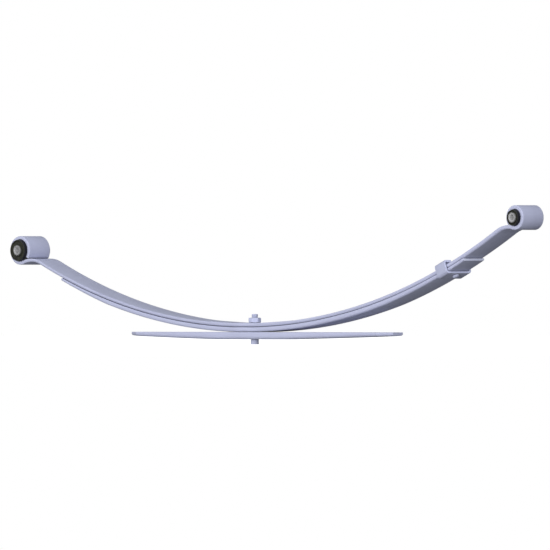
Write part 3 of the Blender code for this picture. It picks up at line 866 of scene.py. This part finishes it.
def studio_world():
    """White backdrop, with a weaker light from it that fades towards the ground."""
    world = bpy.data.worlds.new("studio")
    bpy.context.scene.world = world
    world.use_nodes = True
    tree = world.node_tree
    tree.nodes.clear()
    output = tree.nodes.new("ShaderNodeOutputWorld")
    backdrop = tree.nodes.new("ShaderNodeBackground")
    ambient = tree.nodes.new("ShaderNodeBackground")
    chooser = tree.nodes.new("ShaderNodeMixShader")
    seen = tree.nodes.new("ShaderNodeLightPath")
    place = tree.nodes.new("ShaderNodeTexCoord")
    split = tree.nodes.new("ShaderNodeSeparateXYZ")
    fade = tree.nodes.new("ShaderNodeMapRange")
    backdrop.inputs["Color"].default_value = (1, 1, 1, 1)
    ambient.inputs["Color"].default_value = (0.95, 0.98, 1.05, 1)
    fade.inputs["From Min"].default_value = -0.2
    fade.inputs["From Max"].default_value = 0.9
    fade.inputs["To Min"].default_value = 0.155
    fade.inputs["To Max"].default_value = 0.59
    tree.links.new(place.outputs["Generated"], split.inputs["Vector"])
    tree.links.new(split.outputs["Z"], fade.inputs["Value"])
    tree.links.new(fade.outputs["Result"], ambient.inputs["Strength"])
    tree.links.new(seen.outputs["Is Camera Ray"], chooser.inputs["Fac"])
    tree.links.new(ambient.outputs["Background"], chooser.inputs[1])
    tree.links.new(backdrop.outputs["Background"], chooser.inputs[2])
    tree.links.new(chooser.outputs["Shader"], output.inputs["Surface"])


def pale_floor():
    """Plain pale floor that neither lights nor shades the object."""
    mesh = bmesh.new()
    bmesh.ops.create_circle(mesh, cap_ends=True, segments=96, radius=7.0)
    floor = finished("floor", mesh)
    floor.location.z = -0.0004
    nodes = Nodes("floor_paper")
    grain = nodes.noise(nodes.place((1, 1, 1)), 60.0, 4.0)
    colour = nodes.mix(nodes.span(grain, 0, 1), (0.80, 0.80, 0.80), (0.84, 0.84, 0.84))
    roughness = nodes.span(grain, 0.90, 1.0)
    normal = nodes.bump(grain, 0.02, 0.0005)
    nodes.finish(colour, roughness, normal, Specular_IOR_Level=0.0)
    nodes.shader.inputs["Emission Color"].default_value = (1, 1, 1, 1)
    nodes.shader.inputs["Emission Strength"].default_value = 0.80
    floor.data.materials.append(nodes.material)
    floor.visible_diffuse = False
    floor.visible_glossy = False
    floor.visible_shadow = False


# ---------------------------------------------------------------- assembly

def dress(made, finish, node):
    """Gives a piece its finish, and lets it stand for a CAD node."""
    made.data.materials.clear()
    made.data.materials.append(finish)
    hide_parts(node)


def studio():
    camera()
    studio_world()
    sun("key", 25, 2, 2.15, 22)
    sun("camera_side", 56, 24, 0.50, 36)
    sun("left", -40, 0, 0.40, 30)
    sun("back", 205, 6, 0.85, 40)
    pale_floor()
    bpy.context.scene.view_settings.view_transform = "Standard"


def bending_leaves(bolt_cutter, rivet_cutter):
    """Main and second leaf, each in two halves that meet under the centre bolt."""
    along = (1, 3, 3)
    main_steel = coated_steel("leaf_steel", LEAF_LIGHT, LEAF_DARK, along, 0.42)
    second_steel = coated_steel("second_leaf_steel", LEAF_LIGHT, LEAF_DARK, along, 0.42, "X")
    bending = []
    for side in (-1, 1):
        main_leaf = main_half(side)
        second_leaf = second_half(side)
        cut(main_leaf, bolt_cutter)
        cut(second_leaf, bolt_cutter)
        if side > 0:
            cut(second_leaf, rivet_cutter)
        dress(main_leaf, main_steel, "main_leaf")
        dress(second_leaf, second_steel, "second_leaf")
        bending += [(main_leaf, side), (second_leaf, side)]
    return main_steel, bending


def bushes():
    """(piece, finish, slot, node, body) of both bushes' pieces."""
    sleeve_steel = turned_steel("sleeve_steel", (0.33,) * 3, (0.29,) * 3, (0.66,) * 3, 0.45, 0.25)
    can_steel = turned_steel("can_steel", (0.40, 0.40, 0.41), (0.32, 0.32, 0.33), (0.4,) * 3, 0.45, 0.80)
    riding = []
    for side, prefix in ((-1, "front"), (1, "rear")):
        body = EYES[side]["body"]
        rubber = moulded_rubber(prefix + "_rubber", EYES[side]["bore"] - BUSH_CLEARANCE)
        can = bush_can(side, prefix)
        moulding = bush_rubber(side, prefix)
        sleeve = bush_sleeve(side, prefix)
        riding += [
            (can, can_steel, "can_steel", prefix + "_bush_outer_can", body),
            (moulding, rubber, "bush_rubber", prefix + "_bush_rubber", body),
            (sleeve, sleeve_steel, "sleeve_steel", prefix + "_bush_inner_sleeve", prefix + "_sleeve"),
        ]
    return riding


def main():
    studio()
    clip_place = clip_frame()
    stand_up = Matrix.Rotation(-pi / 2, 4, "X")
    rivet_place = clip_place @ Matrix.Translation((0, 0, RIVET_OFFSET)) @ stand_up
    shaft = [(0, -0.01), (BOLT_HOLE_RADIUS, -0.01), (BOLT_HOLE_RADIUS, 0.08), (0, 0.08)]
    bolt_cutter = lathe("bolt_cutter", shaft, steps=64)
    rivet_cutter = rivet_hole(rivet_place)

    leaf_steel, bending = bending_leaves(bolt_cutter, rivet_cutter)
    overload = overload_leaf()
    cut(overload, bolt_cutter)
    clip = rebound_clip(clip_place)
    cut(clip, rivet_cutter)

    even = (3, 3, 3)
    fastener_steel = coated_steel("fastener_steel", (0.505, 0.53, 0.70), (0.46, 0.485, 0.64), even, 0.36)
    strap_steel = coated_steel("strap_steel", (0.445, 0.467, 0.615), (0.405, 0.427, 0.565), even, 0.38, "Z")
    riding = [
        (overload, leaf_steel, "leaf_steel", "overload_leaf", "leaf_pack"),
        (centre_bolt(), fastener_steel, "fastener_steel", "centre_bolt", "leaf_pack"),
        (centre_nut(), fastener_steel, "fastener_steel", "centre_bolt_nut", "leaf_pack"),
        (clip, strap_steel, "fastener_steel", "rebound_clip", "rear_end"),
        (clip_rivet(rivet_place), fastener_steel, "fastener_steel", "clip_rivet", "rear_end"),
    ]
    for made, finish, slot, node, body in riding + bushes():
        dress(made, finish, node)
        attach(made, body)

    bpy.data.objects.remove(bolt_cutter)
    bpy.data.objects.remove(rivet_cutter)
    for made, side in bending:
        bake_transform(made)


main()
